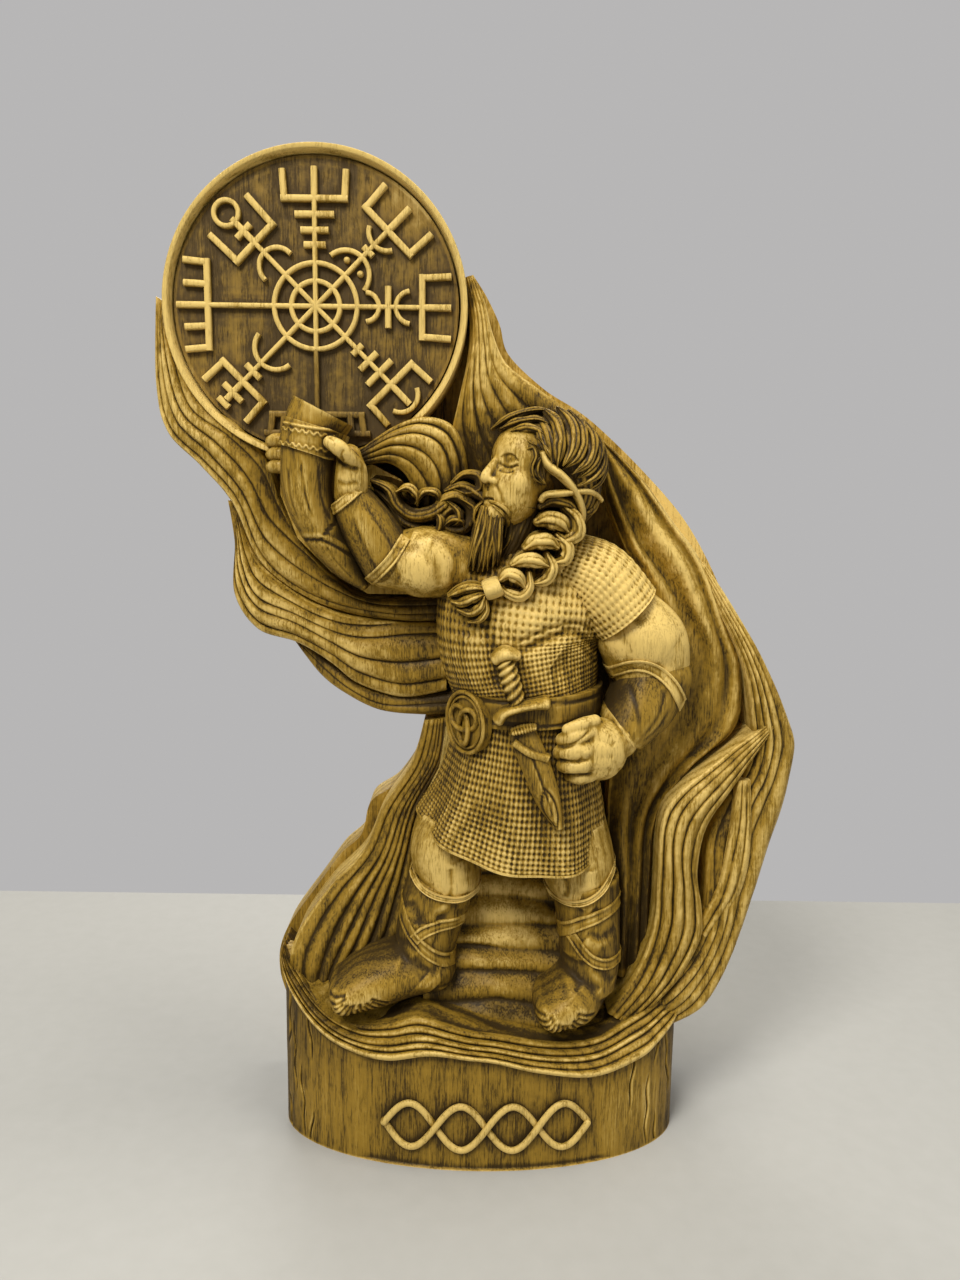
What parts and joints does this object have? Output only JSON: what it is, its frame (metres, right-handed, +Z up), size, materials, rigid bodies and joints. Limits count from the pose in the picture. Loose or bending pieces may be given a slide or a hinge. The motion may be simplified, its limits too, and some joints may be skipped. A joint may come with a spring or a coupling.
{
  "type": "carved figurine",
  "caption": "A carved wooden dwarf in mail lifts a drinking horn before a round compass board and flame-like folds, on a D-shaped plinth.",
  "frame": {"origin": "the middle of the plinth's underside", "axes": "+X is the viewer's right, +Y points away from the viewer towards the flat back, +Z is up"},
  "size_m": [0.1958, 0.059, 0.3],
  "materials": {
    "pale_wood": "waxed ash, worn pale on the high places",
    "golden_wood": "stained and waxed ash with satin sheen",
    "brown_wood": "ash stained brown, satin",
    "dark_wood": "ash stained dark, satin"
  },
  "bodies": {
    "root": {"arm_filling": "dark_wood", "back_board_lower_left": "golden_wood", "back_board_middle": "golden_wood", "back_board_right": "golden_wood", "back_board_upper_left": "golden_wood", "beard": "brown_wood", "belt": "brown_wood", "belt_buckle": "brown_wood", "braid_bead": "pale_wood", "braid_tassel": "brown_wood", "compass_board": "dark_wood", "compass_hub": "pale_wood", "compass_rim": "pale_wood", "compass_stave_east": "pale_wood", "compass_stave_north": "pale_wood", "compass_stave_north_east": "pale_wood", "compass_stave_north_west": "pale_wood", "compass_stave_south": "pale_wood", "compass_stave_south_east": "pale_wood", "compass_stave_south_west": "pale_wood", "compass_stave_west": "pale_wood", "dagger_hilt": "golden_wood", "drinking_horn": "brown_wood", "far_braid": "brown_wood", "fist": "pale_wood", "flame_curl": "golden_wood", "ground": "golden_wood", "hair": "dark_wood", "head": "pale_wood", "horn_band": "golden_wood", "leaf_flame": "golden_wood", "left_boot": "brown_wood", "left_boot_top": "golden_wood", "left_bottom_flame": "golden_wood", "left_flame": "golden_wood", "left_middle_flame": "golden_wood", "left_thigh": "pale_wood", "leg_folds": "golden_wood", "lower_left_flame": "golden_wood", "lowered_bracer": "brown_wood", "lowered_upper_arm": "pale_wood", "mail_coat": "golden_wood", "mail_skirt": "golden_wood", "mail_sleeve": "golden_wood", "near_braid": "golden_wood", "plinth": "golden_wood", "plinth_plait": "pale_wood", "raised_bracer": "brown_wood", "raised_fingers": "golden_wood", "raised_hand": "pale_wood", "raised_upper_arm": "pale_wood", "right_boot": "brown_wood", "right_boot_top": "golden_wood", "right_edge_flame": "golden_wood", "right_fold": "golden_wood", "right_thigh": "pale_wood", "scabbard": "brown_wood", "small_leaf_flame": "golden_wood", "top_flame": "golden_wood"}
  },
  "joints": []
}
